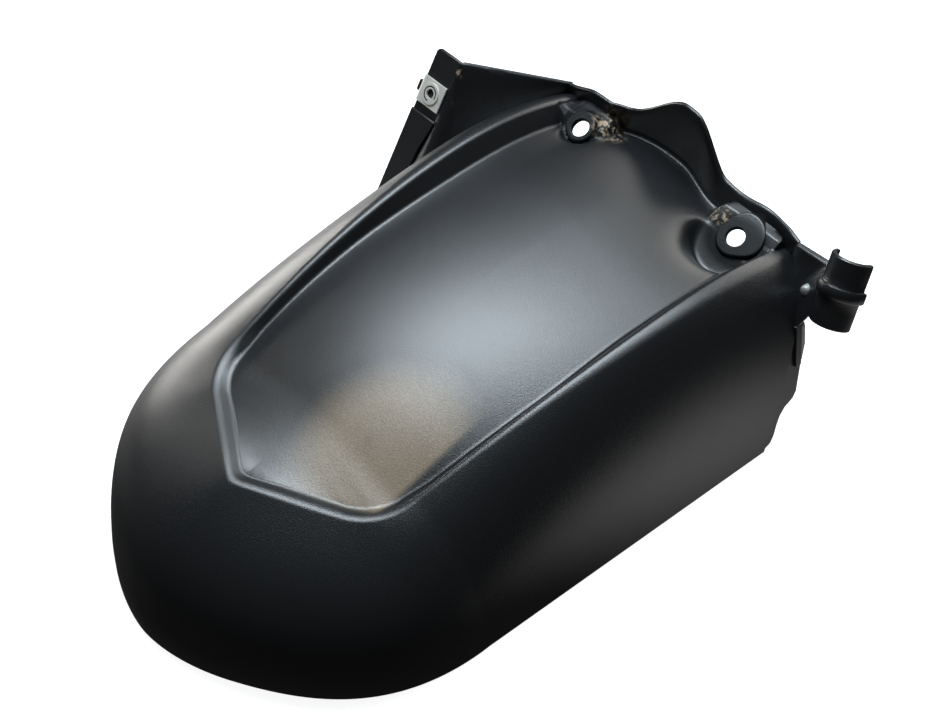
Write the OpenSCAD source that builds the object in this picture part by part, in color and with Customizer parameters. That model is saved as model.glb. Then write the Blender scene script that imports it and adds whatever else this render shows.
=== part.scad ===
// Rear hugger mudguard: one thin-walled black moulding and the folded clip nut on its left flange.
// Millimetres, +Z up, +Y forward to the mounting end, +X to the right-hand side.
// The lower edge lies in the plane z = 0. The origin is under the middle of the overall box.

/* [Moulding] */
// Thickness of the moulded wall
wall = 2.5; // [2:0.1:3]
// How far the nose reaches back from the reference station
nose_reach = 211; // [190:1:230]
// How far the front wall stands ahead of the reference station
front_reach = 118; // [105:1:130]
// Half of the width across the lower edge where the nose turn ends
rim_half_w = 106; // [95:1:115]
// Outward splay of the skirts, per millimetre of length
skirt_splay = 0.066; // [0.02:0.002:0.1]
// Where the lower edge of the right skirt ends
right_skirt_end = 62; // [40:1:75]
// Where the lower edge of the left skirt ends, cut back for the chain
left_skirt_end = 12; // [0:1:30]

/* [Crest and panel] */
// Height of the crests at their highest point
crest_top_z = 84; // [75:0.5:95]
// Station of the highest point of the crests
crest_top_y = 38; // [20:1:50]
// Side-view radius of the crests behind the highest point
crest_rear_r = 478; // [400:1:600]
// Side-view radius of the crests ahead of the highest point
crest_front_r = 210; // [180:1:300]
// Half of the distance between the two crests
crest_half_w = 72; // [65:0.5:78]
// Rounding radius of the inner side of the crests
crest_r = 3.5; // [3:0.1:4]
// Rounding radius of the outer side of the crests at their rear end
flank_r_rear = 5; // [4:0.5:7]
// Rounding radius of the outer side of the crests at the mounting end
flank_r_front = 11; // [8:0.5:14]
// Depth of the panel below the crests at its rear corners
panel_depth_rear = 2.8; // [2:0.1:4]
// Depth of the panel below the crests at the mounting end
panel_depth_front = 10; // [7:0.2:12]
// Rise of the middle of the panel above its sides
panel_crown = 6; // [3:0.2:8]
// Station of the rear tip of the panel outline
panel_tip_y = -157; // [-165:1:-150]
// Height of the rear tip of the panel outline
panel_tip_z = 61; // [55:0.5:66]

/* [Front wall] */
// Height of the wall between the mounting holes and the middle lug
wall_top_z = 78; // [74:0.5:84]
// Height of the wall at the middle lug
lug_top_z = 100; // [90:0.5:108]
// Width of the middle lug at its foot
lug_w = 68; // [60:0.5:76]
// How far the middle of the wall bows forward
wall_bow = 7; // [4:0.5:10]

/* [Mounting holes] */
// Half of the distance between the two mounting holes
hole_half_gap = 52; // [48:0.5:55]
// Station of the mounting holes
hole_y = 101; // [97:0.5:104]
// Height of the seat around each mounting hole
hole_z = 70; // [68:0.5:73]
// Diameter of the mounting holes
hole_d = 9.5; // [8:0.1:11]
// Backward tilt of the mounting hole axes
hole_tilt = 30; // [20:1:40]
// Diameter of the boss around each hole
boss_d = 20; // [18:0.5:22]
// Radius of the hollow around each boss
pocket_r = 17; // [16:0.5:18]
// Height of the boss above the floor of the hollow
pocket_depth = 3.5; // [2:0.1:4.5]

/* [Left flange] */
// Width of the left flange at its top
flange_w = 17.5; // [16:0.1:20]
// Outer edge of the left flange, measured from the middle of the body
flange_outer_x = 125.5; // [122:0.5:130]
// Length of the left flange up its slope, from the lower edge of the skirt
flange_len = 109; // [104:0.5:114]
// Lean of the left flange from the vertical
flange_lean = 31.5; // [28:0.5:35]
// Where the raised lower part of the left flange ends, up the slope
flange_step = 75; // [70:0.5:78]

/* [Hose saddle] */
// Inside diameter of the half-pipe that holds the hose
saddle_bore_d = 16; // [14:0.5:17]
// Length of the half-pipe
saddle_len = 33; // [30:0.5:38]
// Backward lean of the half-pipe
saddle_lean = 28; // [24:0.5:32]
// Outward tilt of the foot of the half-pipe
saddle_tilt = 10; // [6:0.5:12]
// Width of the collar round the half-pipe
collar_w = 5.6; // [4:0.2:8]
// How far the collar stands out
collar_rise = 1.8; // [1:0.1:2.5]

/* [Clip nut] */
// Sheet thickness of the clip nut
clip_sheet = 1; // [0.8:0.1:1.2]
// Width of the clip nut along the flange
clip_w = 14; // [12:0.5:16]
// Thread diameter of the clip nut
thread_d = 6; // [5:0.5:6]

/* [Hidden] */
turn_y = -105;
turn_n = 12;
side_n = 18;
skirt_n = 8;
crest_n = 4;
step_n = 4;
panel_n = 12;
row_n = skirt_n + crest_n + step_n + panel_n;
col_n = turn_n + side_n;
nose_len = turn_y + nose_reach;
flange_foot_y = left_skirt_end + 2.5;
nut_x = flange_outer_x - 8;
nut_s = 86.6;
clip_len = 15;
clip_gap = 0.15;
seat_recess = 1.2;
tab_w = 6;
tab_reach = 3;
tab_slack = 0.5;
nut_collar_d = thread_d + 5;
nut_collar_h = 0.6;
thread_bore_d = thread_d - 1;
relief_d = hole_d + 5.5;
wall_setback = 5;
pocket_x = hole_half_gap - 1.5;
pocket_y = hole_y - 3.5;
pocket_z = hole_z - 3.5 * tan(hole_tilt);
pocket_foot_z = 58;
skirt_lean = 20;
skirt_tab_outline = [
    [-4, 2], [1, 1], [5, 1.8], [8, 4.5], [11, 9], [14, 12.5], [18, 15], [24, 16.5],
    [27, 19], [33, 33], [37, 40], [39, 52], [30, 51], [18, 45], [4, 20]
];
saddle_wall = 2.3;
saddle_top = [108.3, 113.6, 90.5];
saddle_axis = [-cos(saddle_lean) * sin(saddle_tilt), sin(saddle_lean), cos(saddle_lean) * cos(saddle_tilt)];
saddle_r = saddle_bore_d / 2 + saddle_wall;
saddle_left_top = saddle_top - [saddle_r - 1, 1, 1];
saddle_left_foot = saddle_left_top - saddle_axis * (saddle_len - 2);
collar_z = saddle_len - 18.6;
nose_power = 1.76;
saddle_reach = saddle_top.x - saddle_axis.x * saddle_len + saddle_r * cos(saddle_tilt);
centre_shift = [
    (flange_outer_x + tab_reach - saddle_reach) / 2,
    (nose_reach - front_reach - wall - wall_bow) / 2,
    0
];

// Small helpers
function mix(a, b, t) = a + (b - a) * t;
function clamp01(t) = max(0, min(1, t));
function ease(t) = let(c = clamp01(t)) c * c * (3 - 2 * c);
function unit(v) = v / norm(v);
function flat(v) = [v.x, v.y, 0];
function hermite(a, slope_a, b, slope_b, t) = a + (b - a) * ease(t)
    + slope_a * t * (1 - t) * (1 - t) - slope_b * t * t * (1 - t);

// Lower edge: a rounded nose, then a nearly straight skirt
function rim_x(y) = rim_half_w + (y - turn_y) * skirt_splay;
function rim_nose(a) = let(full = 3 * pow(sin(180 * clamp01((a / 90 - 0.3) / 0.7)), 2)) [
    rim_half_w * pow(sin(a), 2 / nose_power) + full * sin(a),
    turn_y - nose_len * pow(cos(a), 2 / nose_power) - full * cos(a),
    0
];

// Crest line: two arcs in side view, slightly waisted in plan
function crest_radius(y) = y < crest_top_y ? crest_rear_r : crest_front_r;
function crest_z(y) = let(r = crest_radius(y), d = y - crest_top_y) crest_top_z - r + sqrt(r * r - d * d);
function crest_x(y) = crest_half_w - 10.5 * pow((crest_top_y + 34 - y) / 172, 2);

// Crest line round the rear of the panel: straight from the tip, then a rounded corner
corner_in = [46, -131];
corner = [60, -121];
function bend(a, b, c, t) = mix(mix(a, b, t), mix(b, c, t), t);
function crest_nose(t) = let(
    end = [crest_x(turn_y), turn_y],
    p = t < 0.6 ? mix([0, panel_tip_y], corner_in, t / 0.6) : bend(corner_in, corner, end, (t - 0.6) / 0.4),
    z = hermite(panel_tip_z, 0, crest_z(turn_y), 22, t)
) [p.x, p.y, z];

function panel_depth(y) = mix(panel_depth_rear, panel_depth_front, ease((y + 100) / 160));
function step_run(y) = mix(7, 9, ease((y + 100) / 160));
function flank_r(y) = mix(flank_r_rear, flank_r_front, ease((y + 100) / 190));

// Height of the middle of the panel, level near its tip and along the crests further forward
function middle_z(y) = y < turn_y
    ? hermite(
        panel_tip_z - panel_depth_rear, 3, crest_z(turn_y) - panel_depth(turn_y) + panel_crown, 14,
        clamp01((y - panel_tip_y - 7) / (turn_y - panel_tip_y - 7))
    )
    : crest_z(y) - panel_depth(y) + panel_crown;
function side_bulge(y) = mix(0.74, 0.36, ease((y + 125) / 180)) + 0.2 * ease((-y - 105) / 30);

// One cross-section from the lower edge (k = 0) to the middle of the panel (k = row_n)
function section_point(ridge, rim, spine, k, y) = let(
    out = unit(flat(rim - ridge)),
    above = [rim.x, rim.y, ridge.z],
    bulge = side_bulge(y),
    ctrl = mix((ridge + rim) / 2, above, bulge),
    fall = atan2(ridge.z - ctrl.z, norm(flat(ctrl - ridge))),
    core = ridge - [0, 0, crest_r],
    flank = flank_r(y),
    flank_core = ridge - [0, 0, flank],
    depth = panel_depth(y),
    run = step_run(y),
    foot_r = 3,
    dz = crest_r + foot_r - depth,
    lean = atan2(run, dz) - acos(min(1, (crest_r + foot_r) / norm([run, dz]))),
    start = flank_core + flank * (out * sin(fall) + [0, 0, cos(fall)]),
    foot = core + out * -run + [0, 0, dz],
    edge = foot - [0, 0, foot_r]
) k <= skirt_n ? bend(rim, ctrl, start, pow(k / skirt_n, 0.85))
: k <= skirt_n + crest_n / 2 ? let(a = fall * (1 - (k - skirt_n) / (crest_n / 2)))
    flank_core + flank * (out * sin(a) + [0, 0, cos(a)])
: k <= skirt_n + crest_n ? let(a = -lean * (k - skirt_n - crest_n / 2) / (crest_n / 2))
    core + crest_r * (out * sin(a) + [0, 0, cos(a)])
: k <= skirt_n + crest_n + step_n ? let(a = lean * (1 - (k - skirt_n - crest_n - 1) / (step_n - 1)))
    foot + foot_r * (out * sin(a) - [0, 0, cos(a)])
: let(s = (k - skirt_n - crest_n - step_n) / panel_n, t = 0.62 * s + 0.38 * s * s * s, py = mix(edge.y, spine.y, t))
    [mix(edge.x, spine.x, t), py, mix(edge.z, middle_z(py), 1 - (1 - t) * (1 - t))];

// Plan shape of the front wall: bowed forward a little left of the middle, set back on the right
function wall_shift(x) = let(a = x + 20 * (1 - pow(x / 48, 2)))
    (abs(x) < 48 ? wall_bow * max(0, 1 - pow(a / 48, 2)) : 0) - wall_setback * ease((x + 2) / 28) * ease((100 - x) / 30);

// How far forward each line of the grid ends, side -1 is left and 1 is right
function line_end(k, side) = let(
    last = side < 0 ? left_skirt_end : right_skirt_end,
    t = min(1, k / skirt_n)
) mix(last, front_reach + wall, pow(t, side < 0 ? 1.5 : 0.85));

function side_point(f, k, side) = let(
    y = mix(turn_y, line_end(k, side), 1 - pow(1 - f, 1.5)),
    ridge = [crest_x(y), y, crest_z(y)],
    spine = [0, y],
    p = section_point(ridge, [rim_x(y), y, 0], spine, k, y),
    bow = wall_shift(p.x * side) * ease(f)
) p + [0, bow, 0];

function nose_point(t, k) = let(
    ridge = crest_nose(t),
    rim = rim_nose(90 * t),
    spine = [0, mix(turn_y - 35, turn_y, t)]
) section_point(ridge, rim, spine, k, ridge.y);

function outer_point(j, k) = let(
    side = j < 0 ? -1 : 1,
    n = abs(j),
    p = n <= turn_n ? nose_point(n / turn_n, k) : side_point((n - turn_n) / side_n, k, side)
) [p.x * side, p.y, max(p.z, 0)];

// The grid is indexed by column j, from the left front round the nose to the right front, and by row k
cols = [for (j = [-col_n:col_n]) [for (k = [0:row_n]) outer_point(j, k)]];
function grid(j, k) = cols[j + col_n][k];
function normal_at(j, k) = k == row_n
    ? let(n = abs(j), a = grid(min(n + 1, col_n), k) - grid(max(n - 1, 0), k), b = grid(n, k - 1) - grid(-n, k - 1))
        n == 0 ? unit(cross([1, 0, 0], a)) : unit(cross(b, a))
    : let(a = grid(min(j + 1, col_n), k) - grid(max(j - 1, -col_n), k), b = grid(j, k + 1) - grid(j, max(k - 1, 0)))
        unit(cross(a, b));
function inner_point(j, k) = let(n = normal_at(j, k), p = grid(j, k) - wall * n)
    k == 0 ? let(m = unit(flat(n))) grid(j, k) - wall * m : [p.x, p.y, max(p.z, 0.01)];

// Points of one skin, with the middle line shared by the left and right halves
function skin(inside) = concat(
    [for (j = [-col_n:col_n]) for (k = [0:row_n - 1]) inside ? inner_point(j, k) : grid(j, k)],
    [for (n = [0:col_n]) inside ? inner_point(n, row_n) : grid(n, row_n)]
);
skin_size = (2 * col_n + 1) * row_n + col_n + 1;
function id(j, k) = k == row_n ? (2 * col_n + 1) * row_n + abs(j) : (j + col_n) * row_n + k;

module shell() {
    faces = concat(
        [for (j = [-col_n:col_n - 1]) for (k = [0:row_n - 1]) each let(
            a = id(j, k), b = id(j + 1, k), c = id(j + 1, k + 1), d = id(j, k + 1)
        ) [[a, c, b], [a, d, c], [a + skin_size, b + skin_size, c + skin_size], [a + skin_size, c + skin_size, d + skin_size]]],
        [for (j = [-col_n:col_n - 1]) each let(a = id(j, 0), b = id(j + 1, 0))
            [[a, b, b + skin_size], [a, b + skin_size, a + skin_size]]],
        [for (k = [0:row_n - 1]) each let(a = id(-col_n, k), b = id(-col_n, k + 1))
            [[a, b + skin_size, b], [a, a + skin_size, b + skin_size]]],
        [for (k = [0:row_n - 1]) each let(a = id(col_n, k), b = id(col_n, k + 1))
            [[a, b, b + skin_size], [a, b + skin_size, a + skin_size]]]
    );
    polyhedron(concat(skin(false), skin(true)), faces, convexity = 6);
}

// Front wall: a bowed upright plate whose top edge waves over the mounting holes and the middle lug
crest_end_z = 72.5;
lug_x = -6;
function wall_top(x) = let(
    base = wall_top_z - 2 * ease((x - 10) / 30),
    side = x < 0 ? crest_end_z : crest_end_z + 2
) mix(side, base, ease((crest_half_w + 6 - abs(x)) / 20))
    + (lug_top_z - base) * min(ease((x - lug_x + lug_w / 2) / 36), ease((lug_w / 2 + lug_x - x) / 26));

// A ruled sheet between two polylines of equal length, thick along +Y
module sheet(lower, upper, thick = wall) {
    n = len(lower);
    back = [0, thick, 0];
    points = concat(lower, upper, [for (p = lower) p + back], [for (p = upper) p + back]);
    faces = concat(
        [for (i = [0:n - 2]) each [
            [i, n + i, n + i + 1], [i, n + i + 1, i + 1],
            [2 * n + i, 3 * n + i + 1, 3 * n + i], [2 * n + i, 2 * n + i + 1, 3 * n + i + 1],
            [n + i, 3 * n + i, 3 * n + i + 1], [n + i, 3 * n + i + 1, n + i + 1],
            [i, i + 1, 2 * n + i + 1], [i, 2 * n + i + 1, 2 * n + i]
        ]],
        [[0, 2 * n, 3 * n], [0, 3 * n, n]],
        [[n - 1, 2 * n - 1, 4 * n - 1], [n - 1, 4 * n - 1, 3 * n - 1]]
    );
    polyhedron(points, faces, convexity = 4);
}

module front_wall() {
    left = [for (k = [skirt_n:row_n]) grid(-col_n, k) - [0, wall, wall * 0.6]];
    right = [for (k = [row_n - 1:-1:skirt_n]) grid(col_n, k) - [0, wall, wall * 0.6]];
    foot = concat(left, right);
    sheet(foot, [for (p = foot) [p.x, p.y + wall_setback * ease((p.x + 2) / 28) * ease((84 - p.x) / 16), wall_top(p.x)]]);
}

// Left flange: a flat strip in a leaning plane, drawn with x across and distance up the slope
module flange_plane() {
    translate([0, flange_foot_y, 0])
    rotate([90 - flange_lean, 0, 0])
    children();
}

// Edge of the flange where the clip nut sits: a shallow recess with a tab that passes through the bend
function clip_seat_outline() = let(
    x = -flange_outer_x,
    half = clip_w / 2 + clip_gap,
    half_tab = tab_w / 2
) [
    [x, nut_s - half], [x + seat_recess, nut_s - half], [x + seat_recess, nut_s - half_tab],
    [x - tab_reach, nut_s - half_tab], [x - tab_reach, nut_s + half_tab], [x + seat_recess, nut_s + half_tab],
    [x + seat_recess, nut_s + half], [x, nut_s + half]
];

module left_flange() {
    inner_top = flange_outer_x - flange_w;
    flange_plane()
    translate([0, 0, -wall])
    linear_extrude(wall)
    difference() {
        polygon([
            [-flange_outer_x, 16],
            each clip_seat_outline(),
            [-flange_outer_x, flange_len - 1.5], [-flange_outer_x + 1.5, flange_len],
            [-inner_top - 1, flange_len], [-inner_top, flange_len - 1], [-inner_top, 74],
            [-inner_top + 5, 60], [-inner_top + 3, 38], [-inner_top - 5, 8], [-inner_top - 9, 6]
        ]);
        translate([-nut_x, nut_s])
        circle(d = thread_d + 2.5, $fn = 32);
    }
    // Raised lower part, whose upper end makes the step under the nut
    flange_plane()
    linear_extrude(1.5)
    polygon([
        [-flange_outer_x, 16], [-flange_outer_x, flange_step], [-inner_top, flange_step],
        [-inner_top - 3, 58], [-inner_top - 4, 30], [-inner_top - 5, 8], [-inner_top - 9, 6]
    ]);
}

// Left web: joins the front wall, the left side of the body and the inner edge of the flange
function flange_edge(s) = [
    flange_w - flange_outer_x - 1 - 4 * ease((flange_step - s) / 45),
    flange_foot_y + sin(flange_lean) * s,
    cos(flange_lean) * s
];

module left_web() {
    wall_end = grid(-col_n, skirt_n);
    top_a = [wall_end.x, wall_end.y - wall, wall_top(wall_end.x)];
    top_b = flange_edge(flange_len - 1);
    lower = [for (k = [1:skirt_n]) grid(-col_n, k) + [0, -wall, -1]];
    upper = [
        for (k = [1:4]) flange_edge(mix(12, flange_step, (k - 1) / 3)),
        for (k = [5:skirt_n]) mix(top_b, top_a, (k - 5) / (skirt_n - 5))
    ];
    sheet(lower, upper, wall * 1.3);
}

// Right web: closes the space between the front wall, the front edge of the right side and the saddle
module right_web() {
    wall_end = grid(col_n, skirt_n);
    start = [wall_end.x, wall_end.y - wall, wall_top(wall_end.x)];
    knee = [saddle_left_top.x - 3, start.y - 1, start.z + 2.5];
    outer = [start, mix(start, knee, 0.5), knee, mix(saddle_left_top, saddle_left_foot, 0.5), saddle_left_foot];
    inner = [for (i = [0:4]) grid(col_n, skirt_n - i) + [-0.5, -wall, -1]];
    sheet(inner, outer, wall * 1.3);
}

// Plate along the front edge of the right skirt, with a step and a rounded lower corner
module skirt_tab() {
    translate([rim_x(right_skirt_end), right_skirt_end, 0])
    rotate([0, -skirt_lean, 0])
    rotate([90, 0, 90])
    translate([0, 0, -wall])
    linear_extrude(wall)
    polygon(skirt_tab_outline);
}

module saddle_frame() {
    translate(saddle_top)
    rotate([-saddle_lean, -saddle_tilt, 0])
    translate([0, 0, -saddle_len])
    children();
}

module hose_saddle() {
    r = saddle_bore_d / 2;
    saddle_frame()
    difference() {
        union() {
            cylinder(r = r + saddle_wall, h = saddle_len, $fn = 36);
            translate([0, 0, collar_z])
            cylinder(r = r + saddle_wall + collar_rise, h = collar_w, $fn = 36);
        }
        translate([0, 0, -1])
        cylinder(r = r, h = saddle_len + 2, $fn = 36);
        translate([-2 * r, 0.5, -1])
        cube([4 * r, 2 * r, saddle_len + 2]);
    }
}

// Boss of a mounting hole: a low disc on the floor of the hollow, relieved from below
module boss(side) {
    hole_axis(side)
    translate([0, 0, -pocket_depth - wall])
    cylinder(d = boss_d, h = pocket_depth + wall, $fn = 28);
}

module boss_relief(side) {
    hole_axis(side)
    translate([0, 0, -pocket_depth - 2 * wall])
    cylinder(d = relief_d, h = pocket_depth + wall, $fn = 36);
}

module hole_axis(side) {
    translate([side * hole_half_gap, hole_y, hole_z])
    rotate([hole_tilt, 0, 0])
    children();
}

module pocket_axis(side) {
    translate([side * pocket_x, pocket_y, pocket_z])
    rotate([hole_tilt, 0, 0])
    children();
}

// Hollow round a mounting hole: its open space above the floor, and the space under the floor
module pocket_space(side) {
    pocket_axis(side) {
        translate([0, 0, -pocket_depth])
        cylinder(r = pocket_r, h = 40, $fn = 28);
        translate([0, 0, -pocket_depth - wall - 24])
        cylinder(r = pocket_r, h = 24, $fn = 28);
    }
}

// Floor and wall of a hollow: below the panel at the rear, and raised from the panel at the front
module pocket_cup(side) {
    difference() {
        union() {
            intersection() {
                pocket_axis(side)
                translate([0, 0, -pocket_depth - wall])
                cylinder(r = pocket_r + wall, h = 34, $fn = 28);
                under_panel(side);
            }
            intersection() {
                pocket_axis(side)
                translate([0, 0, -pocket_depth - wall - 22])
                cylinder(r = pocket_r + wall, h = wall + 22, $fn = 28);
                translate([side * pocket_x - 30, pocket_y - 30, pocket_foot_z])
                cube([60, 60, 40]);
            }
        }
        pocket_space(side);
    }
    pocket_axis(side)
    translate([0, 0, -pocket_depth - wall])
    cylinder(r = pocket_r + wall / 2, h = wall, $fn = 28);
}

// Solid block under the front of the panel on one side, used to trim the cups to the panel
module under_panel(side) {
    js = [col_n - 8:2:col_n];
    ks = [skirt_n + 2:2:row_n - 2];
    top = [for (j = js) for (k = ks) grid(side * j, k) - [0, 0, 0.8]];
    nk = len([for (k = ks) k]);
    nj = len([for (j = js) j]);
    base = [for (p = top) [p.x, p.y, pocket_foot_z - 20]];
    m = nj * nk;
    faces = concat(
        [for (j = [0:nj - 2]) for (k = [0:nk - 2]) each let(a = j * nk + k, b = a + nk, c = b + 1, d = a + 1)
            [[a, c, b], [a, d, c], [a + m, b + m, c + m], [a + m, c + m, d + m]]],
        [for (j = [0:nj - 2]) each let(a = j * nk, b = a + nk, c = a + nk - 1, d = b + nk - 1)
            [[a, b, b + m], [a, b + m, a + m], [c, d + m, d], [c, c + m, d + m]]],
        [for (k = [0:nk - 2]) each let(a = k, b = k + 1, c = (nj - 1) * nk + k, d = c + 1)
            [[a, b + m, b], [a, a + m, b + m], [c, d, d + m], [c, d + m, c + m]]]
    );
    polyhedron(concat(top, base), side > 0 ? faces : [for (f = faces) [f[0], f[2], f[1]]], convexity = 4);
}

module mounting_hole(side) {
    hole_axis(side)
    translate([0, 0, -wall - 1])
    cylinder(d = hole_d, h = wall + 2, $fn = 36);
}

module hugger_moulding() {
    color("#1b1c1f")
    translate(centre_shift)
    difference() {
        union() {
            difference() {
                shell();
                for (side = [-1, 1]) pocket_space(side);
            }
            for (side = [-1, 1]) pocket_cup(side);
            front_wall();
            left_web();
            left_flange();
            right_web();
            skirt_tab();
            hose_saddle();
            for (side = [-1, 1]) boss(side);
        }
        for (side = [-1, 1]) {
            mounting_hole(side);
            boss_relief(side);
        }
    }
}

// Side view of the clip nut: two leaves joined by a round bend, with a gap for the flange between them
module clip_profile() {
    x = -flange_outer_x + seat_recess;
    slot = wall / 2 + clip_gap;
    translate([x, -wall / 2])
    difference() {
        union() {
            circle(r = slot + clip_sheet, $fn = 36);
            translate([0, -slot - clip_sheet])
            square([clip_len, 2 * (slot + clip_sheet)]);
        }
        circle(r = slot, $fn = 36);
        translate([0, -slot])
        square([clip_len + 1, 2 * slot]);
    }
}

// Clip nut: folded sheet with a raised collar round its thread and a window for the tab of the flange
module clip_nut() {
    color("#b9b4a8")
    translate(centre_shift)
    flange_plane()
    difference() {
        union() {
            translate([0, nut_s + clip_w / 2, 0])
            rotate([90, 0, 0])
            linear_extrude(clip_w)
            clip_profile();
            translate([-nut_x, nut_s, clip_gap])
            cylinder(d = nut_collar_d, h = clip_sheet + nut_collar_h, $fn = 28);
        }
        translate([-nut_x, nut_s, -wall - 4])
        cylinder(d = thread_bore_d, h = 12, $fn = 32);
        translate([-flange_outer_x - tab_reach - 1, nut_s - tab_w / 2 - tab_slack, -wall - clip_gap])
        cube([tab_reach + seat_recess + 1, tab_w + 2 * tab_slack, wall + 2 * clip_gap]);
    }
}

hugger_moulding();
clip_nut();
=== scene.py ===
import math
import bmesh
import bpy
import numpy as np
from mathutils import Matrix, Vector


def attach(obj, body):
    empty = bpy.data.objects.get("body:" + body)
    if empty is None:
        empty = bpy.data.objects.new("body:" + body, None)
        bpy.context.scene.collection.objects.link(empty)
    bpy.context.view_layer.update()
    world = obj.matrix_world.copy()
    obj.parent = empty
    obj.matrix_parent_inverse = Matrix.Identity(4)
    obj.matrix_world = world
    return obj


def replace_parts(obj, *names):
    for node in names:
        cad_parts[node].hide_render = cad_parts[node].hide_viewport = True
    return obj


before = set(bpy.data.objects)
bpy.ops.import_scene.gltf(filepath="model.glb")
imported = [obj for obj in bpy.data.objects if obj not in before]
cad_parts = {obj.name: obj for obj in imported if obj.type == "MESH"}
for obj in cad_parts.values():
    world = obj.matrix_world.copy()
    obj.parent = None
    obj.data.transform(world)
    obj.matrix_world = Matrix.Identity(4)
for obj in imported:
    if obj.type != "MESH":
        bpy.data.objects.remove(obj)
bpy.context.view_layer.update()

# From the moulding's own axes, with y towards the mounting end, to the frame, in millimetres
SHIFT = np.array([2.5, 41.75, 0.0])
MM_PER_M = 1000

# Main sizes of the moulding, as in the part's source
WALL = 2.5
TURN_Y = -105.0
NOSE_REACH = 211.0
NOSE_POWER = 1.76
FRONT = 118.0
RIM_W = 106.0
SPLAY = 0.066
RIGHT_END = 62.0
LEFT_END = 12.0
TIP = (0.0, -157.0, 61.0)

# Crests: highest point, radius behind and ahead of it, half width and how it narrows to the rear
CREST_TOP_Y, CREST_TOP_Z = 38.0, 84.0
CREST_R_REAR, CREST_R_FRONT = 478.0, 210.0
CREST_HALF, CREST_WIDE_Y = 72.0, 72.0
CREST_NARROWING, CREST_LENGTH = 10.5, 172.0

# Sizes that grow from the nose to the mounting end
GROW_FROM = -100.0
PANEL_DEPTH = (2.8, 10.0)
STEP_RUN = (7.0, 9.0)
FLANK_R = (5.0, 11.0)

# Rise of the panel's middle over its edges
CROWN = 6.0

# Radii of the bead on the crest and of the groove at its foot, beside the skirts and round the nose
BEAD_R = (2.8, 9.0)
GROOVE_R = (2.4, 6.0)

# How much less deep the step is round the nose, and how much deeper and shorter along the rear half
NOSE_SHALLOWER = 1.2
REAR_DEEPER, REAR_SHORTER = 0.9, 1.5

# Mounting holes
HOLE = (52.0, 101.0, 70.0)
HOLE_TILT = math.radians(30)
BOLT_R = 4.75
RELIEF_R = 7.5
SEAT_TOP = -0.8

# Hollows round them: middle in x and y, reach across and along, height where the floor turns level
HOLLOW_RIGHT = (50.5, 99.25, 17.0, 14.7, 74.0)
HOLLOW_LEFT = (52.0, 104.5, 11.0, 10.5, 71.0)

# The floor of a hollow climbs forward at this slope, through this place
HOLLOW_SLOPE = 0.7
HOLLOW_Y, HOLLOW_Z = 102.1, 68.1

# Front wall: height at its left and right ends, in the middle and at the lug
WALL_TOP_LEFT, WALL_TOP_RIGHT = 72.5, 74.5
WALL_TOP_MIDDLE = 78.0
LUG_TOP = 100.0

# Left flange, and the place of the nut on it
FLANGE_X = 125.5
FLANGE_W = 17.5
FLANGE_LEN = 109.0
FLANGE_LEAN = 31.5
FLANGE_SETBACK = 2.5
NUT_S = 86.6
NUT_X = 117.5

# Half-pipe for the hose
SADDLE_TOP = np.array([108.3, 113.6, 90.5])
SADDLE_LEN, SADDLE_LEAN, SADDLE_TILT = 33.0, math.radians(28), math.radians(10)
SADDLE_AXIS = np.array([-math.cos(SADDLE_LEAN) * math.sin(SADDLE_TILT), math.sin(SADDLE_LEAN),
                        math.cos(SADDLE_LEAN) * math.cos(SADDLE_TILT)])
SADDLE_BORE, SADDLE_WALL = 8.0, 2.3
SADDLE_R = SADDLE_BORE + SADDLE_WALL

# Its collar: rise over the pipe, and its lower and upper faces below the pipe's top
COLLAR_RISE = 1.8
COLLAR_LOW, COLLAR_HIGH = 18.6, 13.0

# Numbers of rows and columns of the fine grid
SKIRT_N, CREST_N, STEP_N, PANEL_N = 30, 14, 10, 48
ROWS = SKIRT_N + CREST_N + STEP_N + PANEL_N
TURN_N, SIDE_N = 56, 150
COLS = TURN_N + SIDE_N

UP = np.array([0.0, 0.0, 1.0])


# Curves
def mix(a, b, t):
    return a + (b - a) * t


def ease(t):
    t = np.clip(t, 0, 1)
    return t * t * (3 - 2 * t)


def bend(a, b, c, t):
    return mix(mix(a, b, t), mix(b, c, t), t)


def hermite(a, slope_a, b, slope_b, t):
    return a + (b - a) * ease(t) + slope_a * t * (1 - t) ** 2 - slope_b * t * t * (1 - t)


def grow(y, ends, length=160):
    """A size that grows from its rear to its front value, over a length ahead of GROW_FROM."""
    return float(mix(*ends, ease((y - GROW_FROM) / length)))


def crest_z(y):
    r = np.where(y < CREST_TOP_Y, CREST_R_REAR, CREST_R_FRONT)
    return CREST_TOP_Z - r + np.sqrt(r * r - (y - CREST_TOP_Y) ** 2)


def crest_x(y):
    return CREST_HALF - CREST_NARROWING * ((CREST_WIDE_Y - y) / CREST_LENGTH) ** 2


def middle_z(y):
    """Height of the panel along its middle."""
    if y >= TURN_Y:
        return float(crest_z(y)) - grow(y, PANEL_DEPTH) + CROWN
    rear_y, rear_z = TIP[1] + STEP_RUN[0], TIP[2] - PANEL_DEPTH[0]
    t = float(np.clip((y - rear_y) / (TURN_Y - rear_y), 0, 1))
    return float(hermite(rear_z, 3, middle_z(TURN_Y), 14, t))


def side_bulge(y):
    """How far the skirt bulges: 0 is straight from crest to lower edge, 1 is a square corner."""
    return float(mix(0.74, 0.36, ease((y + 125) / 180)) + 0.2 * ease((TURN_Y - y) / 30))


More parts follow.
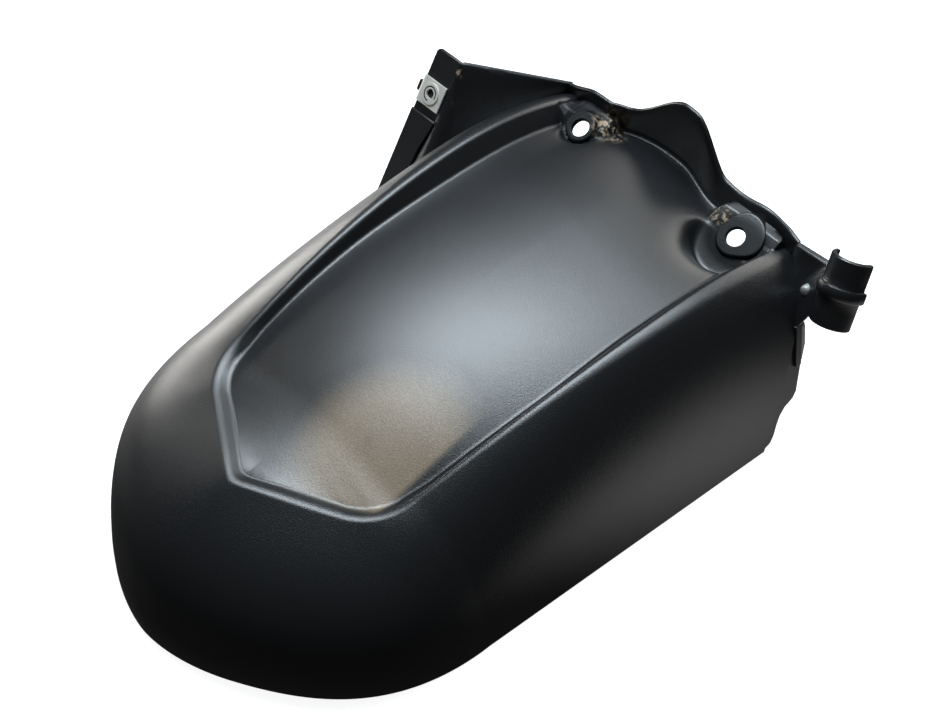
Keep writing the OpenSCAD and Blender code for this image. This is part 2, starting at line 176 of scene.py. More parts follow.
def crest_nose(t):
    """The crest round half of the nose, from the pointed tip to the straight part."""
    tip, inner, corner = np.array(TIP[:2]), np.array([46.0, -131.0]), np.array([60.0, -121.0])
    end = np.array([crest_x(TURN_Y), TURN_Y])
    line_part = 0.6
    if t < line_part:
        x, y = mix(tip, inner, t / line_part)
    else:
        x, y = bend(inner, corner, end, (t - line_part) / (1 - line_part))
    edge_slope, tip_round = 0.565, 3.0
    y += edge_slope * (math.hypot(x, tip_round) - x) * float(ease((40 - x) / 30))
    return np.array([x, y, float(hermite(TIP[2], 0, crest_z(TURN_Y), 22, t))])


def rim_nose(t):
    """The lower edge round half of the nose, a superellipse that is a little fuller near its side."""
    a = math.pi / 2 * t
    full = 3 * math.sin(math.pi * min(1.0, max(0.0, (t - 0.3) / 0.7))) ** 2
    across = math.sin(a) ** (2 / NOSE_POWER)
    along = max(0.0, math.cos(a)) ** (2 / NOSE_POWER)
    return np.array([RIM_W * across + full * math.sin(a),
                     TURN_Y - (TURN_Y + NOSE_REACH) * along - full * math.cos(a),
                     0.0])


# Cross-sections
def skirt_point(k, rim, ctrl, start, slope):
    """Row k of the skirt, on a cubic curve that leaves the crest along its slope."""
    handle = start + 2 / 3 * np.linalg.norm(ctrl - start) * slope
    low = mix(rim, ctrl, 2 / 3)
    t = (k / SKIRT_N) ** 0.85
    return mix(bend(rim, low, handle, t), bend(low, handle, start, t), t)


def section(ridge, rim, spine, y, only=None):
    """Rows of one cross-section, from the lower edge to the middle of the panel, or one skirt row."""
    out = np.array([rim[0] - ridge[0], rim[1] - ridge[1], 0.0])
    out /= np.linalg.norm(out)

    def arc(centre, radius, angle):
        return centre + radius * (out * math.sin(angle) + UP * math.cos(angle))

    above = np.array([rim[0], rim[1], ridge[2]])
    ctrl = mix((ridge + rim) / 2, above, side_bulge(y))
    fall = math.atan2(ridge[2] - ctrl[2], np.linalg.norm((ctrl - ridge)[:2]))
    fall += math.radians(20) * float(ease((TURN_Y - y) / 25))
    flank = grow(y, FLANK_R, 190)
    flank_core = ridge - flank * UP
    start = arc(flank_core, flank, fall)
    slope = out * math.cos(fall) - UP * math.sin(fall)
    if only is not None:
        return skirt_point(only, rim, ctrl, start, slope)
    rows = [skirt_point(k, rim, ctrl, start, slope) for k in range(SKIRT_N + 1)]

    # How far the rounder nose and the changed rear half of the step reach to this section
    nose = float(ease((-y - 100) / 20))
    tip = float(ease((-y - 108) / 15))
    rear = float(ease((y + 112) / 20) * ease((20 - y) / 60))
    bead_r, groove_r = mix(*BEAD_R, nose), mix(*GROOVE_R, nose)
    depth = grow(y, PANEL_DEPTH) - NOSE_SHALLOWER * tip + REAR_DEEPER * rear
    run = grow(y, STEP_RUN) - REAR_SHORTER * rear
    dz = bead_r + groove_r - depth
    lean = math.atan2(run, dz) - math.acos(min(1.0, (bead_r + groove_r) / math.hypot(run, dz)))
    bead = ridge - bead_r * UP
    groove = bead - out * run + UP * dz
    edge = groove - groove_r * UP
    half = CREST_N // 2
    rows += [arc(flank_core, flank, fall * (1 - k / half)) for k in range(1, half + 1)]
    rows += [arc(bead, bead_r, -lean * k / half) for k in range(1, half + 1)]
    rows += [arc(groove, groove_r, math.pi - lean * (1 - k / (STEP_N - 1))) for k in range(STEP_N)]
    for k in range(1, PANEL_N + 1):
        s = k / PANEL_N
        t = 0.62 * s + 0.38 * s ** 3
        py = mix(edge[1], spine[1], t)
        pz = mix(edge[2], middle_z(py), 1 - (1 - t) ** 2)
        rows.append(np.array([mix(edge[0], spine[0], t), py, pz]))
    return np.array(rows)


def straight_section(y, only=None):
    ridge = np.array([float(crest_x(y)), y, float(crest_z(y))])
    rim = np.array([RIM_W + (y - TURN_Y) * SPLAY, y, 0.0])
    return section(ridge, rim, np.array([0, y]), y, only)


# The grid of the body: one column for each section, one row for each line along the body
def wall_shift(x):
    """How far the front edge bows out at the lug and back beside it."""
    half, forward, aside, back = 48, 7, 20, 5
    a = x + aside * (1 - (x / half) ** 2)
    bow = np.where(np.abs(x) < half, forward * np.maximum(0, 1 - (a / half) ** 2), 0)
    return bow - back * ease((x + 2) / 28) * ease((100 - x) / 30)


def side_column(f, side):
    """One column of the straight part; each row ends where the front edge of that side is."""
    last, bow = (LEFT_END, 1.5) if side < 0 else (RIGHT_END, 0.85)
    t = np.minimum(1, np.arange(ROWS + 1) / SKIRT_N)
    end = mix(last, FRONT + WALL, t ** bow)
    ys = mix(TURN_Y, end, 1 - (1 - f) ** 1.5)
    pts = np.zeros((ROWS + 1, 3))
    for i in range(SKIRT_N):
        pts[i] = straight_section(float(ys[i]), i)
    pts[SKIRT_N:] = straight_section(float(ys[-1]))[SKIRT_N:]
    pts[:, 1] += wall_shift(pts[:, 0] * side) * float(ease(f))
    pts[:, 0] *= side
    return pts


def nose_column(t, side):
    ridge = crest_nose(t)
    spine = np.array([0.0, mix(TURN_Y - 35, TURN_Y, t)])
    pts = section(ridge, rim_nose(t), spine, ridge[1])
    pts[:, 0] *= side
    return pts


def outer_grid():
    left = [side_column(f, -1) for f in np.linspace(1, 0, SIDE_N + 1)[:-1]]
    nose_left = [nose_column(t, -1) for t in np.linspace(1, 0, TURN_N + 1)[:-1]]
    nose_right = [nose_column(t, 1) for t in np.linspace(0, 1, TURN_N + 1)]
    right = [side_column(f, 1) for f in np.linspace(0, 1, SIDE_N + 1)[1:]]
    return np.array(left + nose_left + nose_right + right)


def soften_nose(g):
    """Evens out the crease that the pointed crest would leave down the middle of the nose."""
    width, margin, passes, strength = 22, 13, 90, 0.6
    j = np.arange(g.shape[0])[:, None, None]
    k = np.arange(g.shape[1])[None, :, None]
    across = np.exp(-((j - COLS) / width) ** 2)
    along = ease(k / 5) * (1 - ease((k - SKIRT_N + margin) / margin))
    for _ in range(passes):
        mean = (np.roll(g, 1, axis=0) + np.roll(g, -1, axis=0)) / 2
        g = g + strength * across * along * (mean - g)
    return g


def hollow(g):
    """Sinks a tilted hollow round each mounting hole into the panel and raises its front out of it."""
    right = g[..., 0] > 0
    px, py, rx, ry, level = [np.where(right, a, b) for a, b in zip(HOLLOW_RIGHT, HOLLOW_LEFT)]
    x, y = np.abs(g[..., 0]), g[..., 1]
    bottom = np.minimum(HOLLOW_Z + (y - HOLLOW_Y) * HOLLOW_SLOPE, level)
    # It runs on to the front wall, and towards the step on its outer side
    on_ahead, on_outward, outward_from = 10, 8, 96
    ry = ry + on_ahead * ease((y - py) / 8)
    rx = np.where(x > px, rx + on_outward * ease((y - outward_from) / 10), rx)
    out = (np.hypot((x - px) / rx, (y - py) / ry) - 1) * (rx + ry) / 2
    row = np.arange(ROWS + 1)[None, :]
    on_panel, on_step = 2.2, 6.0
    steepness = np.where(row > SKIRT_N + CREST_N + STEP_N, on_panel, on_step)
    limit = steepness / 2 * (out + np.sqrt(out ** 2 + 1.0)) + 0.02
    above = g[..., 2] - bottom
    bent = above / (1 + np.abs(above / limit) ** 5) ** 0.2
    inside = row > SKIRT_N + CREST_N // 2 + 1
    g[..., 2] = np.where(inside, bottom + bent, g[..., 2])
    return g


def wall_fillet(g):
    """Turns the front edge of the panel up into the front wall, except on the floor of a hollow."""
    radius, hollow_from = 2.8, 67
    is_left = np.arange(COLS * 2 + 1)[:, None] < COLS
    ends = np.where(is_left, g[:1, :, 1], g[-1:, :, 1]) - WALL
    near = np.clip(1 - (ends - g[..., 1]) / radius, 0, 1)
    panel = ease((np.arange(ROWS + 1)[None, :] - SKIRT_N - CREST_N - 2) / STEP_N)
    panel = panel * (1 - ease((g[..., 2] - hollow_from) / 3))
    g[..., 2] += panel * radius * (1 - np.sqrt(1 - near ** 2 * 0.999))
    return g


def unit(v):
    return v / np.maximum(np.linalg.norm(v, axis=-1, keepdims=True), 1e-9)


def grid_normals(g):
    n = unit(np.cross(np.gradient(g, axis=0), np.gradient(g, axis=1)))
    n[:, -1] = n[:, -2]
    mirrored = n[::-1] * np.array([-1, 1, 1])
    n[:, -1] = n[:, -1] + mirrored[:, -1]
    return unit(n)


# Meshes
def make(name, verts, faces, material, smooth=40, bevel=0.0):
    """A mesh object that rides the root, from millimetre points of the moulding's own axes."""
    data = bpy.data.meshes.new(name)
    pts = (np.asarray(verts, float) + SHIFT) / MM_PER_M
    data.from_pydata([tuple(p) for p in pts], [], [tuple(int(i) for i in f) for f in faces])
    data.validate()
    obj = bpy.data.objects.new(name, data)
    bpy.context.scene.collection.objects.link(obj)
    bm = bmesh.new()
    bm.from_mesh(data)
    bmesh.ops.remove_doubles(bm, verts=bm.verts, dist=2e-6)
    bmesh.ops.recalc_face_normals(bm, faces=bm.faces)
    bm.to_mesh(data)
    bm.free()
    data.materials.append(material)
    if bevel:
        mod = obj.modifiers.new("edge", "BEVEL")
        mod.width = bevel / MM_PER_M
        mod.segments = 2
        mod.limit_method = "ANGLE"
        mod.angle_limit = math.radians(35)
        mod.use_clamp_overlap = True
    for poly in data.polygons:
        poly.use_smooth = True
    data.set_sharp_from_angle(angle=math.radians(smooth))
    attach(obj, "root")
    return obj


def lathe(profile, segments=72, start=0.0, sweep=360.0):
    """Points and faces of a turned shape about the local z axis."""
    n = segments if sweep >= 360 else segments + 1
    pts, faces = [], []
    for i in range(n):
        a = math.radians(start + sweep * i / segments)
        pts += [(r * math.cos(a), r * math.sin(a), z) for r, z in profile]
    m = len(profile)
    for i in range(segments):
        j = (i + 1) % n
        for k in range(m - 1):
            faces.append((i * m + k, j * m + k, j * m + k + 1, i * m + k + 1))
    return np.array(pts), faces


def turn(points, rotation, origin):
    return points @ np.array(rotation.to_3x3()).T + np.array(origin)


def extrude(name, outline, low, high, place, bevel=0.5, material=None):
    """An outline in u and v, thick from low to high along w, put in place by a function of u, v, w."""
    n = len(outline)
    pts = [place(u, v, w) for w in (low, high) for u, v in outline]
    faces = [tuple(range(n)), tuple(range(2 * n - 1, n - 1, -1))]
    for i in range(n):
        j = (i + 1) % n
        faces.append((i, j, n + j, n + i))
    return make(name, pts, faces, material or BLACK, bevel=bevel)


def sheet(name, lower, upper, thick):
    """A ruled sheet between two lines of points, thick along +Y."""
    lower, upper = np.asarray(lower, float), np.asarray(upper, float)
    n, rows = len(lower), 10
    pts = []
    for back in (0.0, thick):
        for r in range(rows + 1):
            pts.extend(mix(lower, upper, r / rows) + np.array([0, back, 0]))
    side = n * (rows + 1)
    faces = []
    for r in range(rows):
        for i in range(n - 1):
            a = r * n + i
            faces.append((a, a + n, a + n + 1, a + 1))
            faces.append((side + a, side + a + 1, side + a + n + 1, side + a + n))
    for i in range(n - 1):
        a, b = i, rows * n + i
        faces.append((a, a + 1, side + a + 1, side + a))
        faces.append((b, side + b, side + b + 1, b + 1))
    for r in range(rows):
        a, b = r * n, r * n + n - 1
        faces.append((a, side + a, side + a + n, a + n))
        faces.append((b, b + n, side + b + n, side + b))
    return make(name, pts, faces, BLACK, smooth=45, bevel=0.7)


def resample(line, n):
    line = np.asarray(line, float)
    d = np.concatenate([[0], np.cumsum(np.linalg.norm(np.diff(line, axis=0), axis=1))])
    t = np.linspace(0, d[-1], n)
    return np.stack([np.interp(t, d, line[:, i]) for i in range(3)], -1)


# Materials
class Tree:
    """The nodes of a material or world, with a short call for each kind used here."""

    def __init__(self, owner, output):
        owner.use_nodes = True
        self.nodes, self.links = owner.node_tree.nodes, owner.node_tree.links
        self.nodes.clear()
        self.surface = self.new(output).inputs[0]

    def new(self, kind, **settings):
        node = self.nodes.new("ShaderNode" + kind)
        for key, value in settings.items():
            setattr(node, key, value)
        return node

    def put(self, socket, value):
        if isinstance(value, bpy.types.NodeSocket):
            self.links.new(value, socket)
        else:
            socket.default_value = value

    def pair(self, kind, operation, a, b):
        node = self.new(kind, operation=operation)
        self.put(node.inputs[0], a)
        self.put(node.inputs[1], b)
        return node.outputs[0]

    def times(self, a, b):
        return self.pair("Math", "MULTIPLY", a, b)

    def plus(self, a, b):
        return self.pair("Math", "ADD", a, b)

    def larger(self, a, b):
        return self.pair("Math", "MAXIMUM", a, b)

    def step(self, value, low, high):
        """0 up to low, 1 from high on, and smooth between them."""
        node = self.new("MapRange", interpolation_type="SMOOTHSTEP")
        node.inputs[1].default_value = low
        node.inputs[2].default_value = high
        self.put(node.inputs[0], value)
        return node.outputs[0]

    def blob(self, place, centre, size, soft):
        """1 in the middle of an ellipsoid and 0 outside it, in millimetres of the frame."""
        offset = self.pair("VectorMath", "SUBTRACT", place, [c / MM_PER_M for c in centre])
        scaled = self.pair("VectorMath", "DIVIDE", offset, [s / MM_PER_M for s in size])
        length = self.new("VectorMath", operation="LENGTH")
        self.put(length.inputs[0], scaled)
        return self.step(length.outputs["Value"], 1.0, 1.0 - soft)

    def noise(self, place, scale, detail, roughness):
        node = self.new("TexNoise")
        node.inputs["Scale"].default_value = scale
        node.inputs["Detail"].default_value = detail
        node.inputs["Roughness"].default_value = roughness
        self.put(node.inputs["Vector"], place)
        return node.outputs["Fac"]

    def blend(self, factor, first, second):
        """A colour between two colours."""
        node = self.new("Mix", data_type="RGBA")
        self.put(node.inputs[0], factor)
        self.put(node.inputs[6], first)
        self.put(node.inputs[7], second)
        return node.outputs[2]

    def for_camera(self, others, camera):
        """One shader for the camera's own rays and another for all others."""
        pick = self.new("MixShader")
        self.put(pick.inputs[0], self.new("LightPath").outputs["Is Camera Ray"])
        self.put(pick.inputs[1], others.outputs[0])
        self.put(pick.inputs[2], camera.outputs[0])
        self.put(self.surface, pick.outputs[0])


def new_material(name):
    material = bpy.data.materials.new(name)
    tree = Tree(material, "OutputMaterial")
    shader = tree.new("BsdfPrincipled")
    tree.put(tree.surface, shader.outputs[0])
    return material, tree, shader, tree.new("TexCoord").outputs["Object"]


def panel_dust(tree, place, cloud):
    """Dust settled on the rear of the panel, inside the crests."""
    patch = tree.blob(place, (36, -58, 64), (44, 54, 40), 0.55)
    patch = tree.times(patch, tree.step(cloud, 0.1, 0.4))
    haze = tree.blob(place, (8, -70, 62), (66, 84, 40), 0.9)
    speck = tree.step(tree.noise(place, 2600, 2.0, 0.6), 0.3, 0.7)
    fine = tree.plus(tree.times(speck, 0.6), 0.5)
    dust = tree.times(tree.plus(tree.times(patch, 0.85), tree.times(haze, 0.04)), fine)
    # It ends at the edge that runs from the tip to the right, and at the right step
    split = tree.new("SeparateXYZ")
    tree.put(split.inputs[0], place)
    x, y = split.outputs[0], split.outputs[1]
    ahead = tree.step(tree.plus(tree.times(y, 0.87), tree.times(x, -0.49)), -0.0975, -0.092)
    left_of_step = tree.step(tree.times(x, -1.0), -0.057, -0.053)
    return tree.times(dust, tree.times(ahead, left_of_step))


def corner_dirt(tree, place):
    """Dirt caught beside the mounting holes, and a scuff on the flange."""
    dirt = tree.larger(tree.blob(place, (-39, 154, 72), (13, 13, 14), 0.8),
                       tree.blob(place, (41, 148, 70), (7, 6, 9), 0.8))
    dirt = tree.larger(dirt, tree.blob(place, (-104, 111, 88), (3, 3.5, 3), 0.5))
    return tree.times(dirt, tree.step(tree.noise(place, 420, 4.0, 0.7), 0.48, 0.6))


def plastic():
    material, tree, shader, place = new_material("black_grained_plastic")
    bump = tree.new("Bump")
    bump.inputs["Strength"].default_value = 0.6
    bump.inputs["Distance"].default_value = 0.00018
    tree.put(bump.inputs["Height"], tree.noise(place, 1500, 3.0, 0.7))
    tree.put(shader.inputs["Normal"], bump.outputs[0])
    cloud = tree.noise(place, 28, 3.0, 0.55)
    dirt = corner_dirt(tree, place)
    dusty = tree.blend(panel_dust(tree, place, cloud), (0.006, 0.0065, 0.0075, 1), (0.24, 0.18, 0.12, 1))
    tree.put(shader.inputs["Base Color"], tree.blend(dirt, dusty, (0.32, 0.24, 0.16, 1)))
    # The seats of the mounting holes are less glossy than the grained panel
    seats = tree.larger(tree.blob(place, (56, 144, 66), (21, 18, 12), 0.3),
                        tree.blob(place, (-52, 146, 67), (17, 13, 12), 0.3))
    shine = tree.pair("Math", "SUBTRACT", 0.5, tree.times(seats, 0.36))
    tree.put(shader.inputs["Specular IOR Level"], shine)
    rough = tree.new("MapRange")
    rough.inputs[3].default_value = 0.3
    rough.inputs[4].default_value = 0.35
    tree.put(rough.inputs[0], cloud)
    tree.put(shader.inputs["Roughness"], tree.plus(rough.outputs[0], tree.times(dirt, 0.4)))
    return material


def zinc(name, low, high, roughness):
    material, tree, shader, place = new_material(name)
    tree.put(shader.inputs["Base Color"], tree.blend(tree.noise(place, 350, 3.0, 0.6), low, high))
    shader.inputs["Metallic"].default_value = 0.35
    shader.inputs["Roughness"].default_value = roughness
    return material


BLACK = plastic()
ZINC = zinc("zinc_plated_sheet", (0.55, 0.53, 0.48, 1), (0.72, 0.7, 0.65, 1), 0.5)
# A pale grey for the stub, also used for the highlight painted on the tab's edge.
PALE_STUB_AND_EDGE_HIGHLIGHT = zinc("pale_stub_and_painted_edge_highlight", (0.16, 0.16, 0.155, 1), (0.42, 0.42, 0.4, 1), 0.5)
# A dark copy of the zinc, for the shade painted in the gap round the nut's collar.
ZINC_PAINTED_SHADE = zinc("zinc_in_shadow", (0.012, 0.012, 0.012, 1), (0.03, 0.028, 0.025, 1), 0.6)


# Pieces
def inner_grid(g):
    """The inside of the wall, level along the lower edge."""
    n = grid_normals(g)
    inner = g - WALL * n
    flat = n[:, 0] * np.array([1, 1, 0])
    flat /= np.linalg.norm(flat, axis=-1, keepdims=True)
    inner[:, 0] = g[:, 0] - WALL * flat
    inner[..., 2] = np.maximum(inner[..., 2], 0.0)
    return inner


def near_hole(g, ahead, squash, radius):
    """Which cells of a grid lie round a mounting hole, and are left open for its seat."""
    mid = (g[:-1, :-1] + g[1:, 1:]) / 2
    return np.hypot(np.abs(mid[..., 0]) - HOLE[0], (mid[..., 1] - HOLE[1] - ahead) / squash) < radius


def build_body():
    """The body: its outside and inside, joined along the lower and front edges."""
    g = wall_fillet(hollow(soften_nose(outer_grid())))
    inner = inner_grid(g)
    open_above = near_hole(g, ahead=2.2, squash=0.87, radius=9.0)
    open_below = open_above | near_hole(inner, ahead=3.5, squash=1.0, radius=RELIEF_R)
    cols, rows = g.shape[:2]
    count = cols * rows
    faces = []
    for j in range(cols - 1):
        for k in range(rows - 1):
            a, b = j * rows + k, (j + 1) * rows + k
            if not open_above[j, k]:
                faces.append((a, b, b + 1, a + 1))
            if not open_below[j, k]:
                faces.append((a + count, a + 1 + count, b + 1 + count, b + count))
    for j in range(cols - 1):
        a, b = j * rows, (j + 1) * rows
        faces.append((a, a + count, b + count, b))
    for k in range(rows - 1):
        for a in (k, (cols - 1) * rows + k):
            faces.append((a, a + 1, a + 1 + count, a + count))
    verts = np.concatenate([g.reshape(-1, 3), inner.reshape(-1, 3)])
    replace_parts(make("hugger_body", verts, faces, BLACK, smooth=50), "hugger_moulding")
    return g


def build_seats():
    """Low bosses round the mounting holes, relieved from below and wider towards the outside."""
    flat_from, flat_to, relief_top, foot = 5.3, 8.7, -3.3, -8.0
    profile = [(RELIEF_R, foot), (RELIEF_R, relief_top), (BOLT_R, relief_top), (BOLT_R, -1.1), (4.85, -0.9),
               (5.1, SEAT_TOP), (flat_from, SEAT_TOP), (flat_to, SEAT_TOP), (8.9, SEAT_TOP), (9.4, -0.95),
               (9.7, -1.3), (9.9, -2.0), (10.3, -3.2), (11.2, -4.0), (12.0, -5.4), (RELIEF_R, foot)]
    base, faces = lathe(profile)
    angle = np.arctan2(base[:, 1], base[:, 0])
    radius = np.hypot(base[:, 0], base[:, 1])
    outer = np.clip((radius - flat_from) / (flat_to - flat_from), 0, 1)
    for name, side, lead, wider, narrower in (("left", -1, 130, 2.0, 2.2), ("right", 1, 50, 4.6, 0.0)):
        outward = ease((np.cos(angle - math.radians(lead)) + 0.35) / 1.35)
        scale = 1 + (wider * outward - narrower) * outer / radius
        pts = base * np.stack([scale, scale, np.ones_like(scale)], -1)
        pts = turn(pts, Matrix.Rotation(HOLE_TILT, 4, "X"), (side * HOLE[0], HOLE[1], HOLE[2]))
        make("hole_seat_" + name, pts, faces, BLACK, smooth=50)


def wall_top(x):
    """Height of the front wall, with its lug and the rim of the right hollow."""
    middle = WALL_TOP_MIDDLE - 2 * ease((x - 10) / 30)
    end = np.where(x < 0, WALL_TOP_LEFT, WALL_TOP_RIGHT)
    lug = np.minimum(ease((x + 40) / 36), ease((28 - x) / 26))
    rim_rise, rim_x, rim_width = 2.6, 55, 11
    rim = rim_rise * np.exp(-((x - rim_x) / rim_width) ** 2)
    return mix(end, middle, ease((78 - np.abs(x)) / 20)) + (LUG_TOP - middle) * lug + rim


def wall_section(height):
    """Points round the front wall's section: depth in millimetres, and share of its height."""
    soft, edge = 0.9 / height, 0.3 / height
    return [(0.0, 0.0), (0.0, 0.25), (0.0, 0.5), (0.0, 0.75), (0.0, 1 - soft), (0.3, 1 - edge), (0.9, 1.0),
            (WALL - 0.9, 1.0), (WALL - 0.3, 1 - edge), (WALL, 1 - soft), (WALL, 0.5), (WALL, 0.0)]


def build_front_wall(g):
    foot = np.concatenate([g[0, SKIRT_N:], g[-1, SKIRT_N:-1][::-1]])
    top = wall_top(foot[:, 0])
    # The lower edge of the wall runs smoothly under the steps of the crests
    smooth_over, below_panel, forward = 12, 1.5, 5
    reach = np.abs(foot[:, :1] - foot[:, 0]) < smooth_over
    low = np.where(reach, foot[:, 2] - below_panel, np.inf).min(axis=1)
    low = (reach * low).sum(axis=1) / reach.sum(axis=1)
    lean = forward * ease((foot[:, 0] + 2) / 28) * ease((84 - foot[:, 0]) / 16)
    pts, faces = [], []
    for (x, y, _), z0, z1, tip in zip(foot, low, top, lean):
        for depth, share in wall_section(z1 - z0):
            pts.append((x, y - WALL + depth + tip * share, mix(z0, z1, share)))
    m = len(pts) // len(foot)
    for i in range(len(foot) - 1):
        for k in range(m):
            a, b = i * m + k, i * m + (k + 1) % m
            faces.append((a, b, b + m, a + m))
    faces.append(tuple(range(m)))
    faces.append(tuple((len(foot) - 1) * m + k for k in reversed(range(m))))
    make("front_wall", pts, faces, BLACK, smooth=45)


def wall_corner(g, column):
    """The end of the front wall's top on one side."""
    x, y, _ = g[column, SKIRT_N]
    return np.array([x, y - WALL, float(wall_top(x))])


def flange_edge(v):
    """A point up the inner edge of the left flange."""
    lean = math.radians(FLANGE_LEAN)
    x = FLANGE_W - FLANGE_X - 1 - 4 * float(ease((75 - v) / 45))
    return np.array([x, LEFT_END + FLANGE_SETBACK + math.sin(lean) * v, math.cos(lean) * v])


def build_left_web(g):
    """From the front edge of the left skirt to the flange, and on to the front wall."""
    corner = wall_corner(g, 0)
    flange_n, wall_n, split = 14, 12, SKIRT_N // 2
    up_flange = [flange_edge(v) for v in np.linspace(12, FLANGE_LEN - 1, flange_n)]
    along_wall = [mix(up_flange[-1], corner, i / wall_n) for i in range(1, wall_n + 1)]
    low_part = resample(g[0, round(SKIRT_N / 8):split + 1], flange_n)
    high_part = resample(g[0, split:SKIRT_N + 1], wall_n + 1)[1:]
    lower = np.concatenate([low_part, high_part]) + np.array([0, -WALL, -1])
    sheet("left_web", lower, up_flange + along_wall, WALL * 1.3)


def build_right_web(g):
    """From the front edge of the right skirt to the half-pipe."""
    n = 24
    corner = wall_corner(g, -1)
    pipe_top = SADDLE_TOP - np.array([SADDLE_R - 1, 1, 1])
    pipe_foot = pipe_top - SADDLE_AXIS * (SADDLE_LEN - 2)
    knee = np.array([pipe_top[0] - 3, corner[1] - 1, corner[2] + 2.5])
    outer = [corner, mix(corner, knee, 0.5), knee, mix(pipe_top, pipe_foot, 0.5), pipe_foot]
    inner = resample(g[-1, SKIRT_N // 2:SKIRT_N + 1][::-1], n) + np.array([-0.5, -WALL, -1])
    sheet("right_web", inner, resample(outer, n), WALL * 1.3)


def flange_place(u, v, w):
    """Along the flange's width, up it and out of its rear face."""
    a = math.radians(90 - FLANGE_LEAN)
    return (u, LEFT_END + FLANGE_SETBACK + v * math.cos(a) - w * math.sin(a),
            v * math.sin(a) + w * math.cos(a))


def build_flange():
    """The left flange with the seat and the tab of the nut, and the thicker part at its foot."""
    inner, x = FLANGE_W - FLANGE_X, -FLANGE_X
    half, half_tab, notch, tab = 7.15, 3.0, x + 1.2, x - 3
    nut_low, nut_high = NUT_S - half, NUT_S + half
    tab_low, tab_high = NUT_S - half_tab, NUT_S + half_tab
    foot = [(inner - 5, 8), (inner - 9, 6)]
    seat = [(x, nut_low), (notch, nut_low), (notch, tab_low), (tab, tab_low),
            (tab, tab_high), (notch, tab_high), (notch, nut_high), (x, nut_high)]
    top = [(x, FLANGE_LEN - 1.5), (x + 1.5, FLANGE_LEN), (inner - 1, FLANGE_LEN), (inner, FLANGE_LEN - 1)]
    outline = [(x, 16)] + seat + top + [(inner, 74), (inner + 5, 60), (inner + 3, 38)] + foot
    extrude("left_flange", outline, -WALL, 0, flange_place, bevel=0.45)
    lower = [(x, 16), (x, 75), (inner, 75), (inner - 3, 58), (inner - 4, 30)] + foot
    extrude("flange_foot", lower, -0.5, 1.5, flange_place, bevel=0.45)


def build_saddle():
    """The half-pipe for the hose, with its collar."""
    bore, outer, collar, end = SADDLE_BORE, SADDLE_R, SADDLE_R + COLLAR_RISE, SADDLE_LEN
    low, high = end - COLLAR_LOW, end - COLLAR_HIGH
    profile = [(bore + 0.3, 0), (outer - 0.5, 0), (outer, 0.5), (outer, 4), (outer, 8), (outer, low - 0.5),
               (outer + 0.3, low), (collar - 0.5, low), (collar, low + 0.6), (collar, high - 0.6),
               (collar - 0.5, high), (outer + 0.3, high), (outer, high + 0.5), (outer, 24), (outer, 29),
               (outer, end - 0.5), (outer - 0.5, end), (bore + 0.3, end), (bore, end - 0.4), (bore, 0.4),
               (bore + 0.3, 0)]
    segments = 40
    base, faces = lathe(profile, segments=segments, start=177.0, sweep=186.0)
    m = len(profile)
    faces.append(tuple(range(m - 1)))
    faces.append(tuple(segments * m + k for k in reversed(range(m - 1))))
    base[:, 2] -= SADDLE_LEN
    rotation = Matrix.Rotation(-SADDLE_TILT, 4, "Y") @ Matrix.Rotation(-SADDLE_LEAN, 4, "X")
    make("hose_saddle", turn(base, rotation, SADDLE_TOP), faces, BLACK)


def skirt_place(u, v, w):
    """Forward from the corner of the right skirt, up it and out of it."""
    lean = math.radians(20)
    corner_x = RIM_W + (RIGHT_END - TURN_Y) * SPLAY
    return (corner_x - v * math.sin(lean) + w * math.cos(lean), RIGHT_END + u,
            v * math.cos(lean) + w * math.sin(lean))


def build_tab():
    """The tab ahead of the right skirt, the rib on it, and a pale strip painted along its edge as a
    highlight.
    """
    tab = [(-4, 2), (1, 1), (5, 1.8), (8, 4.5), (11, 9), (14, 12.5), (18, 15), (24, 16.5), (27, 19),
           (33, 33), (37, 40), (39, 52), (30, 51), (18, 45), (4, 20)]
    rib = [(27.5, 33), (31, 33), (35.5, 54), (31, 54)]
    edge_highlight = [(31.6, 33.5), (33.2, 34), (36.8, 41), (38.6, 51), (36.4, 51)]
    extrude("skirt_tab", tab, -WALL, 0, skirt_place)
    extrude("skirt_rib", rib, -1.0, 1.7, skirt_place, bevel=0.4)
    # A thin pale sheet on the tab's edge is a painted highlight, where that narrow face catches the light.
    extrude("painted_skirt_edge_highlight", edge_highlight, -0.4, 0.25, skirt_place, bevel=0.1, material=PALE_STUB_AND_EDGE_HIGHLIGHT)


def build_nut_ring():
    """A dark ring painted as the shade in the gap round the thread collar of the nut, open on one side."""
    ring = [(3.5, 1.6), (3.5, 1.8), (4.15, 1.8), (4.15, 1.6), (3.5, 1.6)]
    base, faces = lathe(ring, segments=48, start=-20, sweep=290)
    pts = [flange_place(x - NUT_X, y + NUT_S, z) for x, y, z in base]
    make("nut_ring", pts, faces, ZINC_PAINTED_SHADE)


def build_stub():
    """The pale stub beside the half-pipe."""
    profile = [(0.0, 2.6), (1.4, 2.5), (2.2, 1.9), (2.5, 1.0), (2.5, -2.0), (0.0, -2.0)]
    base, faces = lathe(profile, segments=28)
    make("stub", turn(base, Matrix.Rotation(math.radians(75), 4, "X"), (93.9, 104.4, 64.2)), faces, PALE_STUB_AND_EDGE_HIGHLIGHT)


# Studio, in metres of the frame
def stage(name, data):
    obj = bpy.data.objects.new(name, data)
    bpy.context.scene.collection.objects.link(obj)
    return obj


def aim(obj, target, toward, distance):
    """Puts a light or camera at a distance from its target, looking at it."""
    toward = Vector(toward).normalized()
    obj.location = Vector(target) + toward * distance
    obj.rotation_mode = "QUATERNION"
    obj.rotation_quaternion = (-toward).to_track_quat("-Z", "Y")


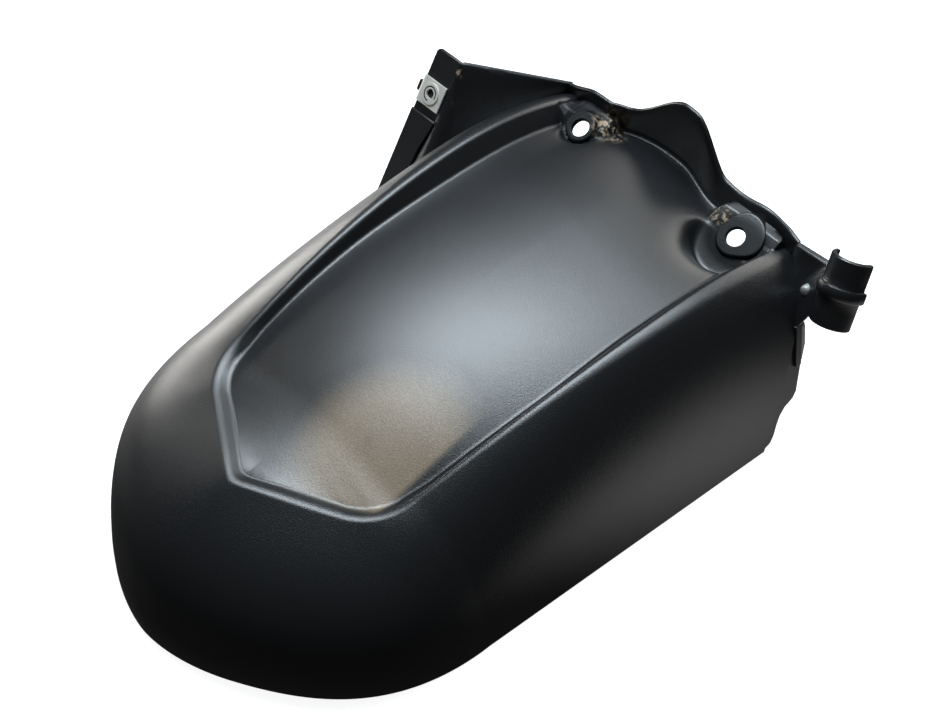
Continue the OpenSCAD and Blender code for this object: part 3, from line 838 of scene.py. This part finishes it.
def build_floor():
    """A white floor for the camera that keeps its shadow, and that the part sees as two pale patches."""
    material = bpy.data.materials.new("pale_floor")
    tree = Tree(material, "OutputMaterial")
    diffuse = tree.new("BsdfDiffuse")
    diffuse.inputs[0].default_value = (0.5, 0.5, 0.5, 1)
    glow = tree.new("Emission")
    glow.inputs[1].default_value = 0.9
    lit = tree.new("AddShader")
    tree.put(lit.inputs[0], diffuse.outputs[0])
    tree.put(lit.inputs[1], glow.outputs[0])
    place = tree.new("NewGeometry").outputs["Position"]
    patches = tree.plus(tree.blob(place, (-300, 60, 0), (290, 360, 400), 0.7),
                        tree.blob(place, (185, 100, 0), (110, 170, 400), 0.8))
    seen = tree.new("Emission")
    tree.put(seen.inputs[1], tree.plus(patches, 0.05))
    tree.for_camera(seen, lit)
    half, level = 6.0, -0.0004
    corners = [(x * half, y * half, level) for x, y in ((-1, -1), (1, -1), (1, 1), (-1, 1))]
    data = bpy.data.meshes.new("floor")
    data.from_pydata(corners, [], [(0, 1, 2, 3)])
    data.materials.append(material)
    stage("floor", data)


def area(name, toward, distance, size, power, colour, target):
    data = bpy.data.lights.new(name, "AREA")
    data.color = colour
    data.shape = "RECTANGLE"
    data.size, data.size_y = size
    data.energy = power
    aim(stage(name, data), target, toward, distance)


def build_lights():
    cool, warm = (0.83, 0.93, 1.0), (1.0, 0.98, 0.94)
    panel, middle = (0.02, 0.03, 0.08), (0, 0.02, 0.05)
    area("softbox_top", (-0.36, 0.215, 0.91), 0.9, (0.44, 0.34), 12, cool, panel)
    area("softbox_top_right", (-0.05, 0.52, 0.86), 0.9, (0.6, 0.4), 5, cool, panel)
    area("softbox_top_rear", (-0.5, -0.25, 0.75), 0.9, (0.5, 0.5), 0.6, cool, panel)
    area("fill_left", (-1.0, 0.05, 0.05), 1.3, (0.55, 0.3), 9, warm, middle)
    area("fill_back", (-0.1, 1.0, 0.35), 1.4, (1.2, 0.7), 9, warm, middle)
    world = bpy.data.worlds.new("studio")
    bpy.context.scene.world = world
    tree = Tree(world, "OutputWorld")
    room = tree.new("Background")
    room.inputs[0].default_value = (0.9, 0.95, 1.0, 1)
    room.inputs[1].default_value = 0.07
    tree.for_camera(room, tree.new("Background"))


def build_camera():
    """The photograph's view."""
    data = bpy.data.cameras.new("photo_camera")
    data.sensor_width = 36
    data.lens = 57.6
    data.clip_start, data.clip_end = 0.05, 30
    turned, raised = math.radians(47.8), math.radians(50)
    toward = (math.sin(turned) * math.cos(raised), -math.cos(turned) * math.cos(raised), math.sin(raised))
    obj = stage("photo_camera", data)
    aim(obj, (-0.0165, 0.04175, 0), toward, 0.76)
    bpy.context.scene.camera = obj


grid = build_body()
build_seats()
build_front_wall(grid)
build_left_web(grid)
build_right_web(grid)
build_flange()
build_saddle()
build_tab()
build_nut_ring()
build_stub()
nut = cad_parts["clip_nut"].data
nut.materials.clear()
nut.materials.append(ZINC)

build_floor()
build_lights()
build_camera()
view = bpy.context.scene.view_settings
view.view_transform = "Standard"
view.look = "None"
